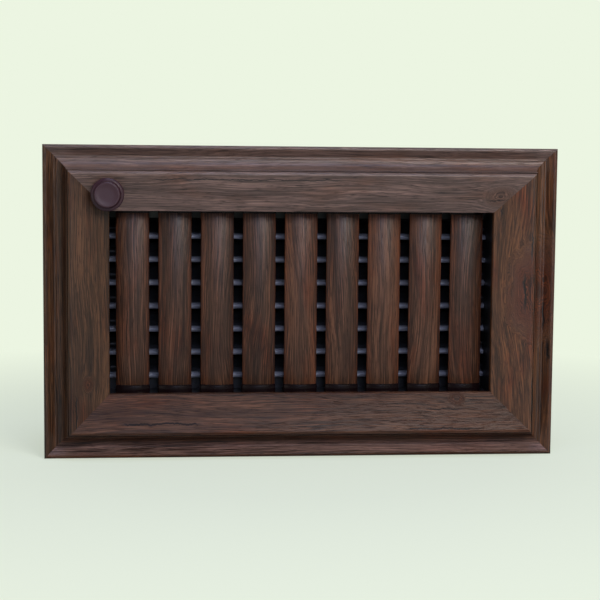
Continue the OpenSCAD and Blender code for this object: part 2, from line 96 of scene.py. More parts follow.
camera_data = bpy.data.cameras.new("photo_camera")
camera = bpy.data.objects.new("photo_camera", camera_data)
scene.collection.objects.link(camera)
scene.camera = camera
camera_data.sensor_width = 36
camera_data.lens = 90.4
camera_data.shift_y = 0.0019
camera_data.clip_start, camera_data.clip_end = 0.05, 50
camera.location = eye
level = ahead.to_track_quat("-Z", "Y")
camera.rotation_mode = "QUATERNION"
camera.rotation_quaternion = level @ Matrix.Rotation(math.radians(roll_degrees), 3, "Z").to_quaternion()
print("the camera stands", round(-eye.y, 3), "m in front of the wall")

# %% [markdown]
# ## Helpers for materials
#
# Colours are written as the hex values that a picture shows, and one function turns them to
# the linear values that Blender works with. Another adds a node, sets its fields and inputs,
# and hands back one of its outputs, so a material reads from top to bottom like a recipe.

# %% Colour and node helpers
def linear(hex_colour):
    """An sRGB hex colour as linear RGBA."""
    parts = [int(hex_colour[i : i + 2], 16) / 255 for i in (1, 3, 5)]
    return [c / 12.92 if c <= 0.04045 else ((c + 0.055) / 1.055) ** 2.4 for c in parts] + [1]


def add(tree, kind, inputs=(), out=0, stops=(), **settings):
    """Adds a shader node and returns one of its outputs.

    inputs is a list in the node's own order, or a dict by name or number. Each is a number, a
    hex colour or another node's output. stops are a colour ramp's places and colours.
    """
    made = tree.nodes.new("ShaderNode" + kind)
    for name, value in settings.items():
        setattr(made, name, value)
    for key, value in inputs.items() if isinstance(inputs, dict) else enumerate(inputs):
        if isinstance(value, bpy.types.NodeSocket):
            tree.links.new(value, made.inputs[key])
        else:
            made.inputs[key].default_value = linear(value) if isinstance(value, str) else value
    if stops:
        band = made.color_ramp.elements
        while len(band) < len(stops):
            band.new(0.5)
        for element, (place, colour) in zip(band, stops):
            element.position = place
            element.color = linear(colour) if isinstance(colour, str) else colour
    return made.outputs[out] if made.outputs else made


def new_material(name, **shader):
    """A material with its Principled shader; shader sets sockets by name, _ for a space."""
    material = bpy.data.materials.new(name)
    material.use_nodes = True
    tree = material.node_tree
    surface = tree.nodes["Principled BSDF"]
    for key, value in shader.items():
        socket = surface.inputs[key.replace("_", " ")]
        socket.default_value = linear(value) if isinstance(value, str) else value
    return material, tree, surface


# %% [markdown]
# ## Wood: dark walnut under satin lacquer
#
# The rails and slats look like walnut that was planed, stained dark and sprayed with a satin
# lacquer. Walnut has long streaks a few millimetres wide, pores like short dark dashes, a few
# knots that the grain flows round, and here and there a thin dark split.
#
# An image could be wrapped round each rail, but the grain would smear over the moulding. A
# solid pattern in 3-D, stretched along the grain, cuts through every curve as real wood does.
# Each rail names its own grain direction, so the mitres meet at the right angle.

# %% Noise that follows the grain
def noise(tree, along, across, depth, sizes, detail=4.0, rough=0.55):
    """Noise whose features measure sizes, in mm: along the grain, and across it."""
    long, wide = sizes
    scaled = [
        add(tree, "Math", [value, size], operation="DIVIDE")
        for value, size in ((along, long), (across, wide), (depth, wide))
    ]
    place = add(tree, "CombineXYZ", scaled)
    return add(tree, "TexNoise", {"Vector": place, "Scale": 1.0, "Detail": detail, "Roughness": rough})


# %% [markdown]
# A knot bends the pattern: near it, the grain lines are pushed aside as water flows round a
# stone, and inside it they turn into wavy rings round a dark heart. So the material keeps one
# number, the grain line that a point lies on, and each knot changes that number before any
# streak or pore is drawn from it. A split needs no such care: it is a thin wandering line.

# %% Knots and splits
KNOT_STRETCH = 1.6
RING_WAVE = 0.7
RING_WAVE_MM = (24, 13)
SPLIT_SWAY_MM = 7.0
SPLIT_TAPER_MM = 9


def grain_round_knot(tree, lines, along, across, depth, knot):
    """The grain line near a knot, then 0 to 1 for its dark heart and for the wood it bends."""
    knot_along, knot_across, radius = knot
    du = add(tree, "Math", [along, knot_along], operation="SUBTRACT")
    du = add(tree, "Math", [du, KNOT_STRETCH], operation="DIVIDE")
    dv = add(tree, "Math", [across, knot_across], operation="SUBTRACT")
    du2 = add(tree, "Math", [du, du], operation="MULTIPLY")
    dv2 = add(tree, "Math", [dv, dv], operation="MULTIPLY")
    far2 = add(tree, "Math", [du2, dv2], operation="ADD")

    push = add(tree, "Math", [far2, 0.5 * radius**2], operation="ADD")
    push = add(tree, "Math", [radius**2, push], operation="DIVIDE")
    push = add(tree, "Math", [dv, push], operation="MULTIPLY")
    flow = add(tree, "Math", [lines, push], operation="SUBTRACT")

    wave = noise(tree, along, across, depth, RING_WAVE_MM, detail=2)
    far = add(tree, "Math", [far2], operation="SQRT")
    rings = add(tree, "Math", [wave, RING_WAVE * radius, far], operation="MULTIPLY_ADD")
    rings = add(tree, "Math", [rings, RING_WAVE / 2 * radius], operation="SUBTRACT")
    outside = add(tree, "MapRange", [rings, 0.6 * radius, 1.5 * radius], interpolation_type="SMOOTHSTEP")
    mixed = add(tree, "Mix", {0: outside, 2: rings, 3: flow}, data_type="FLOAT")
    dark = add(
        tree, "MapRange", [rings, 0.05 * radius, 0.4 * radius, 1.0, 0.0], interpolation_type="SMOOTHSTEP"
    )
    return mixed, dark, add(tree, "Math", [1.0, outside], operation="SUBTRACT")


def split_in_wood(tree, along, across, depth, split):
    """How far inside a thin dark split a point is; split is (from, to, across, width) in mm."""
    start, end, place, width = split
    sway = noise(tree, along, depth, depth, (13, 60), rough=0.65)
    off = add(tree, "Math", [across, place - SPLIT_SWAY_MM / 2], operation="SUBTRACT")
    off = add(tree, "Math", [sway, -SPLIT_SWAY_MM, off], operation="MULTIPLY_ADD")
    off = add(tree, "Math", [off], operation="ABSOLUTE")
    thin = add(tree, "MapRange", [off, 0.25 * width, width, 1.0, 0.0], interpolation_type="SMOOTHSTEP")
    first = add(tree, "MapRange", [along, start, start + SPLIT_TAPER_MM])
    last = add(tree, "MapRange", [along, end - SPLIT_TAPER_MM, end, 1.0, 0.0])
    ends = add(tree, "Math", [first, last], operation="MULTIPLY")
    return add(tree, "Math", [thin, ends], operation="MULTIPLY")


# %% [markdown]
# How pale the wood is at a point is a sum. Fibres and streaks give most of it, a broad noise
# makes whole bands paler or darker, and a wave across the grain gives the growth lines, one
# thin dark line for every year that the tree stood. They show most where a knot bends them.

# %% Streaks, fibres and growth lines
BROAD_MM = (210, 8)
STREAK_MM = (120, 1.9)
FIBRE_MM = (36, 0.7)
YEAR_MM = 2.1


def wood_tone(tree, along, lines, depth, heart, bent):
    """How pale the wood is, round 0.475, then the broad noise, the streaks and the fibres."""
    broad = noise(tree, along, lines, depth, BROAD_MM, detail=3)
    streaks = noise(tree, along, lines, depth, STREAK_MM, rough=0.6)
    fibres = noise(tree, along, lines, depth, FIBRE_MM, detail=2, rough=0.6)
    tone = add(tree, "Math", [streaks, 0.4], operation="MULTIPLY")
    tone = add(tree, "Math", [fibres, 0.6, tone], operation="MULTIPLY_ADD")

    years = add(tree, "Math", [broad, 9.0, lines], operation="MULTIPLY_ADD")
    years = add(tree, "Math", [depth, 0.4, years], operation="MULTIPLY_ADD")
    years = add(tree, "Math", [years, math.tau / YEAR_MM], operation="MULTIPLY")
    wave = add(tree, "Math", [years], operation="SINE")
    late_wood = add(tree, "MapRange", [wave, -0.2, 1.0], interpolation_type="SMOOTHSTEP")
    darker = add(tree, "Math", [bent, -0.12, -0.08], operation="MULTIPLY_ADD")
    tone = add(tree, "Math", [late_wood, darker, tone], operation="MULTIPLY_ADD")

    bands = add(tree, "Math", [broad, 0.5], operation="SUBTRACT")
    tone = add(tree, "Math", [bands, 0.4, tone], operation="MULTIPLY_ADD")
    tone = add(tree, "Math", [heart, -0.13, tone], operation="MULTIPLY_ADD")
    return tone, broad, streaks, fibres


# %% [markdown]
# The colour comes from that tone through a ramp, and is then changed in turn: warmer patches as
# on real walnut, warmer slat edges that are partly wear and partly painted shade, a pale grey
# strip that is a painted sheen, clusters of nearly black streaks, pores and splits. Pores and
# splits are also cut into the surface, and a pore is less glossy.

# %% The wood material
TONE_MIDDLE = 0.475
TONE_HALF = 0.195
PLANK_STEP_MM = 57.0
WANDER_MM = 24.0
WORN_AND_SHADED_EDGE_MM = (9.0, 15.8)
FIGURE_BLACK = "#1A100B"
PORE_BROWN = "#3A2A22"
SPLIT_BLACK = "#100A07"
PAINTED_SHEEN_GREY = "#6A5A57"


def walnut(
    name, grain, palette, patch, knots=(), splits=(), shift=0.0, figured=0.4, contrast=1.0, sheen=0.4,
    painted_sheen_strip=None, slat_edges=False,
):
    """Walnut whose grain runs along "X" or "Z"; knots are (along, across, radius) in mm."""
    material, tree, surface = new_material(name, IOR=1.5, Specular_IOR_Level=sheen)
    where = add(tree, "TexCoord", out="Object")
    in_mm = add(tree, "VectorMath", {0: where, 3: 1000.0}, operation="SCALE")
    axes = add(tree, "SeparateXYZ", [in_mm]).node.outputs
    along, across = (axes[0], axes[2]) if grain == "X" else (axes[2], axes[0])
    depth = add(tree, "Math", [axes[1], shift], operation="ADD")

    # each slat is cut from another place in the plank, so the pattern jumps from slat to slat
    if slat_edges:
        number = add(tree, "Math", [across, SLAT_PITCH_MM], operation="DIVIDE")
        number = add(tree, "Math", [number], operation="ROUND")
        depth = add(tree, "Math", [number, PLANK_STEP_MM, depth], operation="MULTIPLY_ADD")

    # the grain lines wander slowly, a few millimetres either way
    wander = noise(tree, along, across, depth, (170, 60), detail=1)
    lines = add(tree, "Math", [wander, WANDER_MM, across], operation="MULTIPLY_ADD")
    heart = bent = 0.0
    for knot in knots:
        lines, inside, near = grain_round_knot(tree, lines, along, across, depth, knot)
        heart = add(tree, "Math", [heart, inside], operation="MAXIMUM")
        bent = add(tree, "Math", [bent, near], operation="MAXIMUM")

    tone, broad, streaks, fibres = wood_tone(tree, along, lines, depth, heart, bent)
    if slat_edges:
        slat_tone = add(tree, "TexWhiteNoise", {"W": number}, out="Value", noise_dimensions="1D")
        slat_tone = add(tree, "Math", [slat_tone, 0.5], operation="SUBTRACT")
        tone = add(tree, "Math", [slat_tone, 0.08, tone], operation="MULTIPLY_ADD")
    half = TONE_HALF / contrast
    place = add(tree, "MapRange", [tone, TONE_MIDDLE - half, TONE_MIDDLE + half])
    colour = add(tree, "ValToRGB", [place], stops=palette)

    # warmer patches a hand wide, the wood round a knot, and on a slat its edges, warmer partly
    # from wear and partly as painted shade
    patches = noise(tree, along, across, depth, (70, 22), detail=3)
    patches = add(tree, "MapRange", [patches, 0.50, 0.70, 0.0, 0.75])
    round_knots = add(tree, "Math", [bent, 0.7], operation="MULTIPLY")
    patches = add(tree, "Math", [patches, round_knots], operation="MAXIMUM")
    if slat_edges:
        slat_middle = add(tree, "Math", [number, SLAT_PITCH_MM], operation="MULTIPLY")
        off_centre = add(tree, "Math", [across, slat_middle], operation="SUBTRACT")
        off_centre = add(tree, "Math", [off_centre], operation="ABSOLUTE")
        # slat edges: part wear, part painted shade
        worn_and_shaded_edge = add(tree, "MapRange", [off_centre, *WORN_AND_SHADED_EDGE_MM, 0.0, 0.6], interpolation_type="SMOOTHSTEP")
        patches = add(tree, "Math", [patches, worn_and_shaded_edge], operation="MAXIMUM")
    warm = add(
        tree, "Mix", {0: 1.0, 6: colour, 7: patch}, out=2, data_type="RGBA", blend_type="MULTIPLY"
    )
    colour = add(tree, "Mix", {0: patches, 6: colour, 7: warm}, out=2, data_type="RGBA")

    # painted sheen: a pale grey strip along a board's outer edge stands for cool light on it
    if painted_sheen_strip:
        low, high = painted_sheen_strip
        rise = add(tree, "MapRange", [across, low - 1.5, low + 1.5])
        ragged = add(tree, "Math", [broad, 8.0, across], operation="MULTIPLY_ADD")
        fall = add(tree, "MapRange", [ragged, high, high + 7.0, 1.0, 0.0])
        grained = add(tree, "MapRange", [tone, 0.3, 0.6])
        pale = add(tree, "Math", [fall, grained], operation="MULTIPLY")
        pale = add(tree, "Math", [rise, pale], operation="MULTIPLY")
        colour = add(
            tree, "Mix", {0: pale, 6: colour, 7: PAINTED_SHEEN_GREY}, out=2, data_type="RGBA", blend_type="ADD"
        )

    # dark figure: here and there a cluster of nearly black streaks
    figure = noise(tree, along, lines, depth, (60, 2.6), rough=0.6)
    figure = add(tree, "MapRange", [figure, 0.52, 0.66, 0.0, 0.9])
    cluster = noise(tree, along, across, depth, (80, 26), detail=1)
    cluster = add(tree, "MapRange", [cluster, 0.50, 0.66, 0.0, figured])
    figure = add(tree, "Math", [figure, cluster], operation="MULTIPLY")
    colour = add(tree, "Mix", {0: figure, 6: colour, 7: FIGURE_BLACK}, out=2, data_type="RGBA")

    # pores: short dark dashes, drawn 0.6 mm wide so that they show
    pores = noise(tree, along, lines, depth, (14, 0.6), detail=2, rough=0.6)
    pores = add(tree, "MapRange", [pores, 0.56, 0.67, 0.0, 0.8])
    colour = add(
        tree, "Mix", {0: pores, 6: colour, 7: PORE_BROWN}, out=2, data_type="RGBA", blend_type="MULTIPLY"
    )

    height = add(tree, "Math", [pores, -1.0, fibres], operation="MULTIPLY_ADD")
    if splits:
        split = 0.0
        for one in splits:
            inside = split_in_wood(tree, along, across, depth, one)
            split = add(tree, "Math", [split, inside], operation="MAXIMUM")
        colour = add(tree, "Mix", {0: split, 6: colour, 7: SPLIT_BLACK}, out=2, data_type="RGBA")
        height = add(tree, "Math", [split, -2.0, height], operation="MULTIPLY_ADD")
    tree.links.new(colour, surface.inputs["Base Color"])

    raised = add(tree, "Bump", {"Height": height, "Strength": 0.6, "Distance": mm(0.16)})
    tree.links.new(raised, surface.inputs["Normal"])
    satin = add(tree, "MapRange", [streaks, 0.3, 0.7, 0.34, 0.44])
    satin = add(tree, "Math", [pores, 0.2, satin], operation="MULTIPLY_ADD")
    tree.links.new(satin, surface.inputs["Roughness"])
    return material


# %% [markdown]
# Stain darkens all of one board alike, so a board's tones are one middle colour times a few
# factors. The top rail's tones are paler and greyer: partly its own tone, partly painted light,
# a painted cool reflection and extra paleness for a rail that faces down. The bottom rail's
# darker tones are partly painted shade, set against the light it catches facing up. The right
# rail is the warmest, with a large swirling knot and several splits.

# %% The five cuts of walnut
def tones(middle):
    """A board's colours from its darkest streak to its palest, from its middle colour."""
    centre = linear(middle)[:3]
    factors = [(0.0, 0.35), (0.28, 0.66), (0.5, 1.0), (0.75, 1.5), (1.0, 2.2)]
    return [(place, [c * k for c in centre] + [1]) for place, k in factors]


SLATS = 9
SLAT_PITCH_MM = (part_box(f"slat_{SLATS}")[0].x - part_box("slat_1")[0].x) * 1000 / (SLATS - 1)

# top rail: paler, greyer middle colour, partly painted light for a downward face
top_wood = walnut(
    "walnut_satin_lacquer_top", "X", tones("#604D43"), "#F8DCC4", knots=[(192, 105, 8.0)],
    splits=[(176, 200, 101, 0.8), (-150, 40, 119, 0.6)], shift=40, figured=0.15,
)
# bottom rail: darker middle colour, partly painted shade; its pale strip is a painted sheen
bottom_wood = walnut(
    "walnut_satin_lacquer_bottom", "X", tones("#432C1E"), "#FACB98", knots=[(153, -94.6, 4.0)],
    splits=[(96, 172, -122, 0.9), (-180, -96, -116, 1.3), (120, 160, -104, 0.8)], shift=310, figured=0.9,
    contrast=1.2, sheen=0.16, painted_sheen_strip=(-147.5, -138.5),
)
left_wood = walnut(
    "walnut_satin_lacquer_left", "Z", tones("#3F2918"), "#F6BE92", knots=[(-78, -207, 4.0)],
    splits=[(-132, -84, -218, 1.0)], shift=620, figured=0.6, contrast=1.5, sheen=0.3,
)
right_wood = walnut(
    "walnut_satin_lacquer_right", "Z", tones("#51331D"), "#FAB488", knots=[(12, 231, 24.0)],
    splits=[
        (-8, 32, 216.7, 1.7), (-62, -33, 244.5, 2.0), (-43, -30, 228.4, 1.5), (80, 100, 194, 1.2),
        (-122, -70, 226, 1.3), (40, 72, 222, 1.1), (-30, 6, 240, 1.5),
    ],
    shift=905, figured=0.8, contrast=1.25,
)
slat_wood = walnut(
    "walnut_satin_lacquer_slats", "Z", tones("#452D1E"), "#FFC290", shift=1210, figured=0.15,
    contrast=1.55, sheen=0.26, slat_edges=True,
)
print("wood materials:", [m.name for m in bpy.data.materials if m.name.startswith("walnut")])

# %% [markdown]
# ## Plastics and metals
#
# The caps and the knob are dark maroon plastic, ABS that was moulded in polished steel and so
# comes out glossy. The knob has been handled, so its gloss is softer. The neck and the blades
# are black plastic from a plainer mould. The gears are acetal without dye, milky and a little
# waxy, because acetal runs dry on itself. The bracket and corner plates are steel with bright
# zinc, and the screws have yellow zinc, which shifts between straw and pink.

# %% Moulded plastics
CLOUD_MM = 30


def moulded(name, colour, roughness, mottle_mm, mottle=0.06, depth=0.01, **more):
    """A moulded plastic: nearly one colour, with a fine texture and uneven gloss."""
    material, tree, surface = new_material(name, IOR=1.5, **more)
    where = add(tree, "TexCoord", out="Object")
    grain = add(tree, "TexNoise", {"Vector": where, "Scale": 1.0 / mm(mottle_mm), "Detail": 3.0})
    cloud = add(tree, "TexNoise", {"Vector": where, "Scale": 1.0 / mm(CLOUD_MM), "Detail": 4.0})
    lighter = add(
        tree, "Mix", {0: mottle, 6: colour, 7: "#FFFFFF"}, out=2, data_type="RGBA", blend_type="SCREEN"
    )
    colour = add(tree, "Mix", {0: cloud, 6: colour, 7: lighter}, out=2, data_type="RGBA")
    tree.links.new(colour, surface.inputs["Base Color"])
    gloss = add(tree, "MapRange", [cloud, 0.3, 0.7, roughness * 0.85, roughness * 1.2])
    tree.links.new(gloss, surface.inputs["Roughness"])
    raised = add(tree, "Bump", {"Height": grain, "Strength": 0.5, "Distance": mm(depth)})
    tree.links.new(raised, surface.inputs["Normal"])
    return material


cap_plastic = moulded("polished_abs_maroon_black", "#0E0405", 0.26, 0.8, 0.002, Specular_IOR_Level=0.12)
knob_plastic = moulded("moulded_abs_maroon", "#30131C", 0.42, 0.5, 0.006, 0.02, Specular_IOR_Level=0.35)
neck_plastic = moulded("moulded_abs_black", "#0E0F12", 0.42, 0.6, 0.003, 0.02)
blade_plastic = moulded("moulded_abs_black_blades", "#101214", 0.5, 0.6, 0.004, Specular_IOR_Level=0.35)
acetal = moulded("acetal_natural", "#DAD6C8", 0.38, 0.7, 0.05, Subsurface_Weight=0.15)

# %% [markdown]
# Between the slats the front beads of the blades catch the light, and that is painted into
# their colour: a grey painted highlight. The beads lie furthest forward on every blade, so a step
# along Y finds them.

# %% Painted highlight on the beads
BEAD_HIGHLIGHT_GREY = "#85868C"
BEAD_FADE_MM = (3.6, 4.8)
bead_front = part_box("blade_1")[0].y
tree = blade_plastic.node_tree
base = tree.nodes["Principled BSDF"].inputs["Base Color"]
where = add(tree, "TexCoord", out="Object")
inwards = add(tree, "SeparateXYZ", [where], out="Y")
fade_from, fade_to = (bead_front + mm(edge) for edge in BEAD_FADE_MM)
# painted highlight: grey on the front of each bead, fading out behind it
bead_highlight = add(
    tree, "MapRange", [inwards, fade_from, fade_to, 1.0, 0.0], interpolation_type="SMOOTHSTEP"
)
black = base.links[0].from_socket
beads = add(tree, "Mix", {0: bead_highlight, 6: black, 7: BEAD_HIGHLIGHT_GREY}, out=2, data_type="RGBA")
tree.links.new(beads, base)
print("the beads reach", round(1000 * bead_front, 1), "mm from the wall")


# %% Plated metals
DRIFT_MM = 5
GRIT_MM = 0.4


def plated(name, first, second, roughness):
    """Zinc-plated steel: a metal whose passivated film drifts between two tints."""
    material, tree, surface = new_material(name, Metallic=1.0)
    where = add(tree, "TexCoord", out="Object")
    drift = add(tree, "TexNoise", {"Vector": where, "Scale": 1.0 / mm(DRIFT_MM), "Detail": 4.0})
    colour = add(tree, "ValToRGB", [drift], stops=[(0.35, first), (0.65, second)])
    tree.links.new(colour, surface.inputs["Base Color"])
    grit = add(tree, "TexNoise", {"Vector": where, "Scale": 1.0 / mm(GRIT_MM), "Detail": 2.0})
    rough = add(tree, "MapRange", [grit, 0.3, 0.7, roughness * 0.8, roughness * 1.25])
    tree.links.new(rough, surface.inputs["Roughness"])
    return material


zinc = plated("zinc_plated_steel", "#B4B7BC", "#C6C8CB", 0.34)
print(len(bpy.data.materials), "materials so far")

# %% [markdown]
# ## Helpers for shapes
#
# Every new piece starts as a few points that are drawn out into an outline: a straight move
# extrudes a point, and a round move spins it about a centre. The outline is filled and
# extruded, or spun into a round body. A bevel then breaks the sharp edges, because light
# catches a rounded edge and gives a piece its outline.

# %% Shape helpers
def draw(bm, start, moves, axis):
    """Draws a closed outline. A move is a point to go to, or (centre, degrees, steps)."""
    first = tip = bmesh.ops.create_vert(bm, co=start)["vert"][0]
    made = [first]
    for move in moves:
        if isinstance(move, Vector):
            tip = bmesh.ops.extrude_vert_indiv(bm, verts=[tip])["verts"][0]
            tip.co = move
        else:
            centre, degrees, steps = move
            spun = bmesh.ops.spin(
                bm, geom=[tip], cent=centre, axis=axis, angle=math.radians(degrees), steps=steps
            )
            tip = [e for e in spun["geom_last"] if isinstance(e, bmesh.types.BMVert)][0]
        made.append(tip)
    return made


def fill_outline(bm):
    """Closes the drawn outline and fills it with one face."""
    bmesh.ops.remove_doubles(bm, verts=bm.verts[:], dist=1e-6)
    return bmesh.ops.contextual_create(bm, geom=bm.edges[:])["faces"][0]


def pull(bm, face, way):
    """Extrudes a face along a vector and returns the new end face."""
    made = bmesh.ops.extrude_face_region(bm, geom=[face])["geom"]
    bmesh.ops.translate(bm, verts=[v for v in made if isinstance(v, bmesh.types.BMVert)], vec=way)
    return [f for f in made if isinstance(f, bmesh.types.BMFace)][0]


def round_edges(bm, edges, radius_mm, segments=3):
    """Rounds edges with a bevel."""
    bmesh.ops.bevel(
        bm,
        geom=edges,
        offset=mm(radius_mm),
        offset_type="OFFSET",
        affect="EDGES",
        segments=segments,
        profile=0.5,
        material=-1,
        clamp_overlap=True,
    )


def piece(bm, name, body, material, replaces=(), smooth=35, bevel_mm=0.0):
    """Makes the mesh an object that rides on a body and stands for CAD nodes."""
    bmesh.ops.recalc_face_normals(bm, faces=bm.faces[:])
    mesh = bpy.data.meshes.new(name)
    for face in bm.faces:
        face.smooth = True
    bm.to_mesh(mesh)
    bm.free()
    mesh.set_sharp_from_angle(angle=math.radians(smooth))
    made = bpy.data.objects.new(name, mesh)
    scene.collection.objects.link(made)
    mesh.materials.append(material)
    if bevel_mm:
        rounding = made.modifiers.new("rounding", "BEVEL")
        rounding.width = mm(bevel_mm)
        rounding.segments = 2
        rounding.limit_method = "ANGLE"
        rounding.angle_limit = math.radians(40)
        rounding.harden_normals = True
    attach(made, body)
    if replaces:
        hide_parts(*replaces)
    return made


def cad_copy(node):
    """A bmesh of a CAD node's shape: its loose triangles joined, its flat faces whole."""
    bm = bmesh.new()
    bm.from_mesh(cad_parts[node].data)
    bmesh.ops.remove_doubles(bm, verts=bm.verts[:], dist=1e-6)
    bmesh.ops.dissolve_limit(
        bm, angle_limit=math.radians(0.2), verts=bm.verts[:], edges=bm.edges[:], delimit={"NORMAL"}
    )
    return bm


# %% [markdown]
# ## The four rails
#
# A rail is a length of moulding with mitred ends: an outer bead, a groove, a cove, a bead at the
# crest and a broad slope down to the opening. The CAD shape is right, to the pockets for the
# corner plates in its back, so each rail is a copy of the CAD mesh with its triangles joined,
# smooth over the curves and sharp at the corners, and with every sharp edge rounded by 0.25 mm.
# That rounding also draws the fine line at each mitre.
#
# One thing is cut deeper than in the CAD model: the groove inside the outer bead. In the
# photograph it is a crisp dark line along the top and a bright one along the bottom, so its side
# is steep. The mesh is cut by a few planes along the rail, and each new point is lowered to the
# groove: down the bead's round, along a straight side, across a narrow floor and up a small step.

# %% Rails
frame_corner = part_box("top_rail")[1]
FRAME_HALF = Vector((frame_corner.x, 0, frame_corner.z)) * 1000
OUTER_BEAD_R = 2.4
OUTER_BEAD_MID = 7.2
GROOVE_SIDE = 40
GROOVE_FLOOR = 3.9
STEP_START = 11.7
COVE_START = 12.9
COVE_LOW = 5.05
GROOVE_CUTS = 14


def groove_height(inset):
    """Height of the moulding between its outer bead and its cove, inset mm from the edge."""
    turn = math.radians(90 - GROOVE_SIDE)
    leave = OUTER_BEAD_R * (1 + math.cos(turn))
    if inset < leave:
        return OUTER_BEAD_MID + math.sqrt(max(0, OUTER_BEAD_R**2 - (inset - OUTER_BEAD_R) ** 2))
    side_top = OUTER_BEAD_MID + OUTER_BEAD_R * math.sin(turn)
    side = side_top - (inset - leave) * math.tan(math.radians(GROOVE_SIDE))
    if inset < STEP_START:
        return max(side, GROOVE_FLOOR)
    return GROOVE_FLOOR + (COVE_LOW - GROOVE_FLOOR) * (inset - STEP_START) / (COVE_START - STEP_START)


def cut_groove(bm, axis, sign):
    """Cuts the groove into a rail whose outer edge faces sign along axis."""
    out = Vector([0, 0, 0])
    out[axis] = sign
    edge = FRAME_HALF[axis]
    first = OUTER_BEAD_R
    for k in range(GROOVE_CUTS + 1):
        inset = first + (COVE_START - first) * k / GROOVE_CUTS
        everything = bm.verts[:] + bm.edges[:] + bm.faces[:]
        bmesh.ops.bisect_plane(bm, geom=everything, plane_co=out * mm(edge - inset), plane_no=out)
    for vert in bm.verts:
        inset = edge - sign * vert.co[axis] * 1000
        height = -vert.co.y * 1000
        if first <= inset <= COVE_START + 0.01 and height > GROOVE_FLOOR:
            vert.co.y = -mm(min(height, groove_height(inset)))


for side, wood, axis, sign in (
    ("top", top_wood, 2, 1),
    ("bottom", bottom_wood, 2, -1),
    ("left", left_wood, 0, -1),
    ("right", right_wood, 0, 1),
):
    bm = cad_copy(side + "_rail")
    cut_groove(bm, axis, sign)
    rail = piece(bm, "moulding_" + side, "frame", wood, [side + "_rail"], 32, 0.25)
    print(rail.name, "has", len(rail.data.polygons), "faces")

# %% [markdown]
# ## The nine slats
#
# Each slat is planed to a lens: two broad curves that run into round edges. The section is
# drawn with four round moves, from tangent point to tangent point, filled, and extruded upwards.

# %% Slats
slat_low, slat_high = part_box("slat_1")
SLAT_WIDTH = (slat_high.x - slat_low.x) * 1000
SLAT_THICK = (slat_high.y - slat_low.y) * 1000
SLAT_EDGE = 1.8
SLAT_END_ROUND = 0.35
SLAT_Y = (slat_low.y + slat_high.y) * 500


def lens_outline(bm, x, z, grow):
    """Draws the slat's section about its axis at x and height z, grown all round, in mm."""
    edge = SLAT_EDGE + grow
    thick = SLAT_THICK + 2 * grow
    edge_x = SLAT_WIDTH / 2 - SLAT_EDGE
    broad = (edge_x**2 + thick**2 / 4 - edge**2) / (thick - 2 * edge)
    half = math.degrees(math.asin(edge_x / (broad - edge)))
    lean = math.radians(half)
    start = mm(x - broad * math.sin(lean), SLAT_Y + broad - thick / 2 - broad * math.cos(lean), z)
    moves = [
        (mm(x, SLAT_Y + broad - thick / 2, z), 2 * half, 28),
        (mm(x + edge_x, SLAT_Y, z), 180 - 2 * half, 10),
        (mm(x, SLAT_Y + thick / 2 - broad, z), 2 * half, 28),
        (mm(x - edge_x, SLAT_Y, z), 180 - 2 * half, 10),
    ]
    draw(bm, start, moves, (0, 0, 1))
    return fill_outline(bm)


def level_edges(bm, heights_mm):
    """Edges that lie flat at one of the heights."""
    return [
        e
        for e in bm.edges
        if any(all(abs(v.co.z - mm(h)) < 1e-6 for v in e.verts) for h in heights_mm)
    ]


slat_x = []
for i in range(1, SLATS + 1):
    low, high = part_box(f"slat_{i}")
    x = (low.x + high.x) * 500
    slat_x.append(x)
    bm = bmesh.new()
    foot = lens_outline(bm, x, low.z * 1000, 0)
    pull(bm, foot, Vector((0, 0, high.z - low.z)))
    round_edges(bm, level_edges(bm, [low.z * 1000, high.z * 1000]), SLAT_END_ROUND, 2)
    piece(bm, f"wood_slat_{i}", f"vane_{i}", slat_wood, [f"slat_{i}"])
print("slats:", SLATS, "of", round(SLAT_WIDTH, 1), "x", round(SLAT_THICK, 1), "mm")

# %% [markdown]
# ## Foot caps and head caps
#
# A moulded cap is glued on each end of a slat. It stands a little proud of the wood all round
# and ends in a pin that turns in the neck. The cap is the same lens, grown by 0.6 mm, with its
# rim drawn in by an inset, and the pin is a cone with equal ends.

# %% Caps
CAP_GROW = 0.6
RIM_STEP = 0.3
RIM_HEIGHT = 1.0
RIM_ROUND = 0.3
PIN_R = 3.0
NECK_INSIDE = 91.5
CAP_PLAY = 0.3


def slat_cap(name, i, seat, end, pin_end, node):
    """A cap from its seat on the wood to its end, with a pin to pin_end; heights in mm."""
    bm = bmesh.new()
    up = 1 if seat > end else -1
    x = slat_x[i - 1]
    base = lens_outline(bm, x, end, CAP_GROW)
    shoulder = pull(bm, base, mm(0, 0, seat - end - up * RIM_HEIGHT))
    bmesh.ops.inset_region(bm, faces=[shoulder], thickness=mm(RIM_STEP), use_even_offset=True)
    pull(bm, shoulder, mm(0, 0, up * RIM_HEIGHT))
    round_edges(bm, level_edges(bm, [end, seat - up * RIM_HEIGHT]), RIM_ROUND, 3)
    bmesh.ops.create_cone(
        bm,
        cap_ends=True,
        segments=40,
        radius1=mm(PIN_R),
        radius2=mm(PIN_R),
        depth=mm(abs(end - pin_end)),
        matrix=Matrix.Translation(mm(x, SLAT_Y, (end + pin_end) / 2)),
    )
    piece(bm, name, f"vane_{i}", cap_plastic, [node])


for i in range(1, SLATS + 1):
    wood_low, wood_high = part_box(f"slat_{i}")
    foot_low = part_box(f"foot_cap_{i}")[0].z * 1000
    head_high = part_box(f"head_cap_{i}")[1].z * 1000
    cap_end = NECK_INSIDE - CAP_PLAY
    slat_cap(f"cap_foot_{i}", i, wood_low.z * 1000, -cap_end, foot_low, f"foot_cap_{i}")
    slat_cap(f"cap_head_{i}", i, wood_high.z * 1000, cap_end, head_high, f"head_cap_{i}")
print("caps made:", 2 * SLATS)

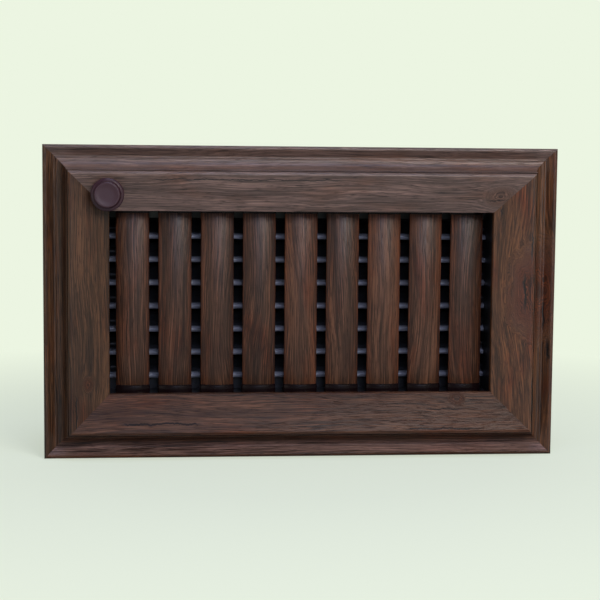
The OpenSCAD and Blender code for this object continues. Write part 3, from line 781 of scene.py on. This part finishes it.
# %% [markdown]
# ## The damper blades
#
# A blade is one extruded strip: a round bead along its front edge, fine ribs on both faces that
# stiffen it and hide scratches, and a round rear edge. Between its ends the strip is flat, and a
# short boss at each end roots the journal that it turns on. The section is drawn lying flat,
# extruded, tilted as it is stored, and moved to its axis.

# %% Blades
BLADES = 7
BLADE_TILT = 45
BEAD_R = 2.4
BLADE_THICK = 1.5
RIBS = 9
RIB_HIGH = 0.3
RIB_WIDE = 0.8
RIB_MARGIN = 1.6
JOURNAL_R = 2.5
BOSS_LONG = 8
SIDE_WALL = 3.3
blade_low, blade_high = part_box("blade_1")
flat = math.cos(math.radians(BLADE_TILT))
BLADE_Y = (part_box("blade_pinion_1")[0].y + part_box("blade_pinion_1")[1].y) * 500
BLADE_FRONT = (BLADE_Y - BEAD_R - blade_low.y * 1000) / flat
BLADE_REAR = (blade_high.y * 1000 - BLADE_THICK / 2 - BLADE_Y) / flat
BLADE_HALF = blade_high.x * 1000 - SIDE_WALL


def rib_moves(places, side):
    """The moves along one face of the blade, up and down over each rib."""
    face = side * BLADE_THICK / 2
    moves = []
    for place in places:
        first = place - side * RIB_WIDE / 2
        last = place + side * RIB_WIDE / 2
        crest = face + side * RIB_HIGH
        moves += [mm(0, first, face), mm(0, first, crest), mm(0, last, crest), mm(0, last, face)]
    return moves


def journal(bm, start, end):
    """A round journal along X, from start to end in mm."""
    turned = Matrix.Translation(mm((start + end) / 2, 0, 0)) @ Matrix.Rotation(math.pi / 2, 4, "Y")
    bmesh.ops.create_cone(
        bm, cap_ends=True, segments=32, radius1=mm(JOURNAL_R), radius2=mm(JOURNAL_R),
        depth=mm(end - start), matrix=turned,
    )


for i in range(1, BLADES + 1):
    low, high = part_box(f"blade_{i}")
    bm = bmesh.new()
    root = math.asin(BLADE_THICK / 2 / BEAD_R)
    root_y = BEAD_R * math.cos(root) - BLADE_FRONT
    first_rib = root_y + RIB_MARGIN
    last_rib = BLADE_REAR - RIB_MARGIN
    ribs = [first_rib + (last_rib - first_rib) * k / (RIBS - 1) for k in range(RIBS)]
    moves = rib_moves(ribs, 1)
    moves += [mm(0, BLADE_REAR, BLADE_THICK / 2), (mm(0, BLADE_REAR, 0), -180, 8)]
    moves += rib_moves(ribs[::-1], -1)
    round_bead = (mm(0, -BLADE_FRONT, 0), 2 * math.degrees(root) - 360, 28)
    moves += [mm(0, root_y, -BLADE_THICK / 2), round_bead]
    draw(bm, mm(0, root_y, BLADE_THICK / 2), moves, (1, 0, 0))
    section = fill_outline(bm)
    bmesh.ops.translate(bm, verts=bm.verts[:], vec=mm(-BLADE_HALF, 0, 0))
    pull(bm, section, mm(2 * BLADE_HALF, 0, 0))
    journal(bm, low.x * 1000, BOSS_LONG - BLADE_HALF)
    journal(bm, BLADE_HALF - BOSS_LONG, high.x * 1000)
    axis_z = (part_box(f"blade_pinion_{i}")[0].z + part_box(f"blade_pinion_{i}")[1].z) / 2
    tilt = Matrix.Rotation(math.radians(BLADE_TILT), 4, "X")
    placed = Matrix.Translation((0, mm(BLADE_Y), axis_z)) @ tilt
    bmesh.ops.transform(bm, matrix=placed, verts=bm.verts[:])
    piece(bm, f"ribbed_blade_{i}", f"louvre_{i}", blade_plastic, [f"blade_{i}"], 30)
print("blades made:", BLADES, "with", RIBS, "ribs on each face")

# %% [markdown]
# ## The knob
#
# The knob was turned or moulded round its own axis, so it is a profile spun once round: a
# broad base, a soft step, a rim, and a nearly flat front with two faint rings. Points are given
# as radius and height from the back, and the front faces the room.

# %% Knob
knob_low, knob_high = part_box("knob")
KNOB_X = (knob_low.x + knob_high.x) * 500
KNOB_Z = (knob_low.z + knob_high.z) * 500
KNOB_BACK = knob_high.y * 1000
KNOB_R = (knob_high.x - knob_low.x) * 500
KNOB_LONG = (knob_high.y - knob_low.y) * 1000
FRONT_R = 12.5


def knob_point(radius, height):
    """A point of the knob's profile, in mm."""
    return mm(KNOB_X + radius, KNOB_BACK - height, KNOB_Z)


def knob_arc(radius, height, turn, steps):
    """A round move of the profile about a point of it."""
    return (knob_point(radius, height), turn, steps)


bm = bmesh.new()
profile = [
    knob_point(KNOB_R - 0.8, 0),
    knob_arc(KNOB_R - 0.8, 0.8, -90, 5),
    knob_point(KNOB_R, 4.2),
    knob_arc(KNOB_R - 1.9, 4.2, -62, 6),
    knob_point(FRONT_R + 0.7, 6.5),
    knob_point(FRONT_R + 0.25, 7.6),
    knob_point(FRONT_R, KNOB_LONG - 2.2),
    knob_arc(FRONT_R - 1.7, KNOB_LONG - 2.2, -80, 8),
    knob_point(FRONT_R - 2.8, KNOB_LONG - 0.75),
    knob_point(FRONT_R - 4.4, KNOB_LONG - 1.05),
    knob_point(FRONT_R - 6.6, KNOB_LONG - 1.2),
    knob_point(3.0, KNOB_LONG - 1.15),
    knob_point(0, KNOB_LONG - 1.1),
]
draw(bm, knob_point(0, 0), profile, (0, 0, 1))
bmesh.ops.spin(
    bm,
    geom=bm.verts[:] + bm.edges[:],
    cent=knob_point(0, 0),
    axis=(0, 1, 0),
    angle=math.tau,
    steps=96,
    use_merge=True,
)
bmesh.ops.remove_doubles(bm, verts=bm.verts[:], dist=1e-6)
piece(bm, "turning_knob", "knob", knob_plastic, ["knob"], 38)
print("knob:", round(2 * KNOB_R, 1), "mm across")

# %% [markdown]
# ## Screws
#
# In the CAD model a screw is a plain body. A real one has a cross recess for the driver, so each
# is made anew where the CAD has one. A screw's axis is its longest side, and its head is at the
# wider end. The head starts as a circle round a cross, with the ring between them filled. The
# cross is pushed in and narrowed, and the circle is drawn down into the cone and the shank.

# %% Screws
CROSS_LONG = 0.55
CROSS_WIDE = 0.14
CROSS_DEEP = 0.5
CROSS_TAPER = 0.6
HEAD_STEPS = 28


def screw_places(node):
    """Each screw of a CAD node as (middle of its head's face, way out, head radius, length)."""
    bm = bmesh.new()
    bm.from_mesh(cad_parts[node].data)
    bmesh.ops.remove_doubles(bm, verts=bm.verts[:], dist=1e-6)
    unseen = set(bm.verts)
    places = []
    while unseen:
        edge_of_search = [unseen.pop()]
        solid = list(edge_of_search)
        while edge_of_search:
            vert = edge_of_search.pop()
            joined = {e.other_vert(vert) for e in vert.link_edges} & unseen
            unseen -= joined
            edge_of_search += joined
            solid += joined
        low = Vector([min(v.co[k] for v in solid) for k in range(3)])
        high = Vector([max(v.co[k] for v in solid) for k in range(3)])
        middle = (low + high) / 2
        size = high - low
        axis = max(range(3), key=lambda k: size[k])
        widest = max(solid, key=lambda v: (v.co - middle).length)
        out = Vector([0, 0, 0])
        out[axis] = 1 if widest.co[axis] > middle[axis] else -1
        head_r = min(size[k] for k in range(3) if k != axis) / 2
        places.append((middle + out * size[axis] / 2, out, head_r, size[axis]))
    bm.free()
    return sorted(places, key=lambda p: tuple(p[0]))


def loop(bm, points):
    """A closed loop of edges through points."""
    verts = [bmesh.ops.create_vert(bm, co=p)["vert"][0] for p in points]
    pairs = zip(verts, verts[1:] + verts[:1])
    return [bmesh.ops.contextual_create(bm, geom=list(pair))["edges"][0] for pair in pairs]


def draw_in(bm, edges, scale, drop):
    """Extrudes a loop down by drop and scales it about the axis; returns the new edges."""
    made = bmesh.ops.extrude_edge_only(bm, edges=edges)["geom"]
    verts = [v for v in made if isinstance(v, bmesh.types.BMVert)]
    bmesh.ops.scale(bm, verts=verts, vec=(scale, scale, 1))
    bmesh.ops.translate(bm, verts=verts, vec=(0, 0, -drop))
    return [e for e in made if isinstance(e, bmesh.types.BMEdge)]


def add_screw(bm, place, out, head_r, length, shank_r, head_deep, countersunk):
    """Adds one screw with a cross recess, its head's face at place, pointing out."""
    own = bmesh.new()
    angles = [math.tau * k / HEAD_STEPS for k in range(HEAD_STEPS)]
    rim = loop(own, [(head_r * math.cos(a), head_r * math.sin(a), 0) for a in angles])
    tip, side = CROSS_LONG * head_r, CROSS_WIDE * head_r
    quarter = [(tip, -side), (tip, side), (side, side)]
    cross = []
    for k in range(4):
        turn = Matrix.Rotation(k * math.pi / 2, 3, "Z")
        cross += [turn @ Vector((x, y, 0)) for x, y in quarter]
    recess = loop(own, cross)
    bmesh.ops.triangle_fill(own, edges=rim + recess, use_beauty=True, normal=(0, 0, 1))
    floor = draw_in(own, recess, CROSS_TAPER, CROSS_DEEP * head_r)
    bmesh.ops.contextual_create(own, geom=floor)
    if countersunk:
        rim = draw_in(own, rim, shank_r / head_r, head_deep)
    else:
        rim = draw_in(own, draw_in(own, rim, 1, head_deep), shank_r / head_r, 0)
    rim = draw_in(own, rim, 1, length - head_deep)
    bmesh.ops.contextual_create(own, geom=rim)
    bmesh.ops.recalc_face_normals(own, faces=own.faces[:])
    aim = out.to_track_quat("Z", "Y").to_matrix().to_4x4()
    bmesh.ops.transform(own, matrix=Matrix.Translation(place) @ aim, verts=own.verts[:])
    mesh = bpy.data.meshes.new("one_screw")
    own.to_mesh(mesh)
    own.free()
    bm.from_mesh(mesh)
    bpy.data.meshes.remove(mesh)


yellow_zinc = plated("yellow_zinc_plated_steel", "#B99A55", "#C9A978", 0.30)
for node, shank_mm, deep_mm, countersunk in (
    ("corner_screws", 1.6, 1.8, True),
    ("neck_screws", 1.6, 1.8, True),
    ("drive_screws", 1.4, 1.6, False),
):
    bm = bmesh.new()
    found = screw_places(node)
    for place, out, head_r, length in found:
        add_screw(bm, place, out, head_r, length, mm(shank_mm), mm(deep_mm), countersunk)
    piece(bm, "cross_" + node, "frame", yellow_zinc, [node], 35)
    print(node, "has", len(found))

# %% [markdown]
# ## Materials for the CAD pieces that stay
#
# The walls, gears, shaft, bracket, plates and guides have the right shape as they are. Each
# only gets its finish, by assigning to the material slots of its own object.

# %% Finishes of the CAD pieces
STAYING = {
    neck_plastic: ["top_wall", "bottom_wall", "left_wall", "right_wall", "rack_guides"],
    acetal: ["knob_pinion", "rack_bar", "knob_bush"] + [f"blade_pinion_{i}" for i in range(1, BLADES + 1)],
    zinc: ["corner_plates", "knob_shaft", "shaft_bracket"],
}
for material, nodes in STAYING.items():
    for node in nodes:
        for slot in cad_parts[node].material_slots:
            slot.material = material
print("CAD pieces with a new finish:", sum(len(n) for n in STAYING.values()))

# %% [markdown]
# ## Stage and light
#
# The vent stands on a pale floor in front of a pale, even background. Behind such a vent lies a
# duct that no light reaches, so a black sheet right behind the neck is painted shade for it. It
# can be seen only from the room side: from behind it is clear, so that the neck shows.
#
# The main light is a broad soft lamp from the upper right, in front. A cooler one straight in
# front reaches between the slats, a third lights what faces up, and a weak one on the left and
# an even sky fill the shadows.

# %% Floor, background and painted duct shade
BACKGROUND = "#ECF5E2"
FLOOR_GAP_MM = 0.4
floor_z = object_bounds()[0].z - mm(FLOOR_GAP_MM)


def sheet(name, material, corners, faces_to):
    """A flat stage sheet through four corners, its front towards faces_to."""
    bm = bmesh.new()
    points = [bmesh.ops.create_vert(bm, co=c)["vert"][0] for c in corners]
    face = bmesh.ops.contextual_create(bm, geom=points)["faces"][0]
    face.normal_update()
    if face.normal.dot(Vector(faces_to)) < 0:
        bmesh.ops.reverse_faces(bm, faces=[face])
    mesh = bpy.data.meshes.new(name)
    bm.to_mesh(mesh)
    bm.free()
    mesh.materials.append(material)
    made = bpy.data.objects.new(name, mesh)
    scene.collection.objects.link(made)
    return made


FLOOR_BOUNCE = "#B9BCC9"
floor_paint, tree, surface = new_material("matt_floor_paint", Roughness=0.9)
rays = add(tree, "LightPath").node.outputs
floor_colour = add(
    tree, "Mix", {0: rays["Is Diffuse Ray"], 6: BACKGROUND, 7: FLOOR_BOUNCE}, out=2, data_type="RGBA"
)
tree.links.new(floor_colour, surface.inputs["Base Color"])
glow = add(tree, "Emission", {"Color": BACKGROUND, "Strength": 1.0})
where = add(tree, "TexCoord", out="Object")
far = add(tree, "VectorMath", [where], out="Value", operation="LENGTH")
seen = add(tree, "MapRange", [far, 0.25, 0.9, 0.55, 1.0])
seen = add(tree, "Math", [rays["Is Camera Ray"], seen], operation="MULTIPLY")
mirrored = add(tree, "Math", [rays["Is Glossy Ray"], rays["Is Transmission Ray"]], operation="MAXIMUM")
mirrored = add(tree, "Math", [mirrored, add(tree, "MapRange", [far, 0.5, 2.0])], operation="MULTIPLY")
glowing = add(tree, "Math", [seen, mirrored], operation="MAXIMUM")
mixed = add(tree, "MixShader", [glowing, surface.outputs[0], glow])
tree.links.new(mixed, tree.nodes["Material Output"].inputs[0])
REACH = 8
corners = [(-REACH, -REACH), (REACH, -REACH), (REACH, REACH), (-REACH, REACH)]
sheet("floor", floor_paint, [(x, y, floor_z) for x, y in corners], (0, 0, 1))

DUCT_GAP_MM = 0.6
DUCT_HALF_X = 189.4
DUCT_HALF_Z = 91.4
# painted shade: a black sheet where the unlit duct would be
painted_shade_black, tree, surface = new_material("painted_duct_shade", Base_Color="#020202", Roughness=0.9)
facing = add(tree, "NewGeometry", out="Backfacing")
mixed = add(tree, "MixShader", [facing, surface.outputs[0], add(tree, "BsdfTransparent")])
tree.links.new(mixed, tree.nodes["Material Output"].inputs[0])
neck_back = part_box("top_wall")[1].y + mm(DUCT_GAP_MM)
half_x, half_z = mm(DUCT_HALF_X), mm(DUCT_HALF_Z)
corners = [(-half_x, -half_z), (half_x, -half_z), (half_x, half_z), (-half_x, half_z)]
sheet("black_sheet_of_shade", painted_shade_black, [(x, neck_back, z) for x, z in corners], (0, -1, 0))
print("the floor lies at", round(1000 * floor_z, 1), "mm")

# %% [markdown]
# The world gives an even, slightly cool light. The camera sees the pale background in its
# place, and so do mirrored rays, but only those that run on behind the vent: a mirrored ray
# towards the room would see a bright wall that isn't there, and turn the wood grey.

# %% World and lamps
world = bpy.data.worlds.new("studio")
scene.world = world
world.use_nodes = True
tree = world.node_tree
tree.nodes.clear()
rays = add(tree, "LightPath").node.outputs
direction = add(tree, "SeparateXYZ", [add(tree, "TexCoord", out="Generated")]).node.outputs
behind = add(tree, "MapRange", [direction["Y"], 0.2, 0.6], interpolation_type="SMOOTHSTEP")
mirrored = add(tree, "Math", [rays["Is Glossy Ray"], rays["Is Transmission Ray"]], operation="MAXIMUM")
mirrored = add(tree, "Math", [mirrored, behind], operation="MULTIPLY")
seen = add(tree, "Math", [rays["Is Camera Ray"], mirrored], operation="MAXIMUM")
even = add(tree, "Background", {"Color": "#E8EAFF", "Strength": 0.17})
backdrop = add(tree, "Background", {"Color": BACKGROUND, "Strength": 1.0})
add(tree, "OutputWorld", [add(tree, "MixShader", [seen, even, backdrop])])


def lamp(name, place, size, watts, colour):
    """A soft square lamp that points at the middle of the vent."""
    data = bpy.data.lights.new(name, "AREA")
    data.size = size
    data.energy = watts
    data.color = linear(colour)[:3]
    made = bpy.data.objects.new(name, data)
    made.location = place
    made.rotation_mode = "QUATERNION"
    made.rotation_quaternion = (-Vector(place)).to_track_quat("-Z", "Y")
    scene.collection.objects.link(made)


lamp("key", (0.85, -2.15, 1.1), 0.9, 33, "#FFF6E8")
lamp("fill", (-1.9, -1.6, 0.5), 1.2, 5, "#FFF4E8")
lamp("skylight", (0.1, -0.85, 2.25), 0.9, 20, "#C8D4FF")
lamp("window", (0.15, -2.3, 0.85), 0.9, 17, "#D0DAFF")
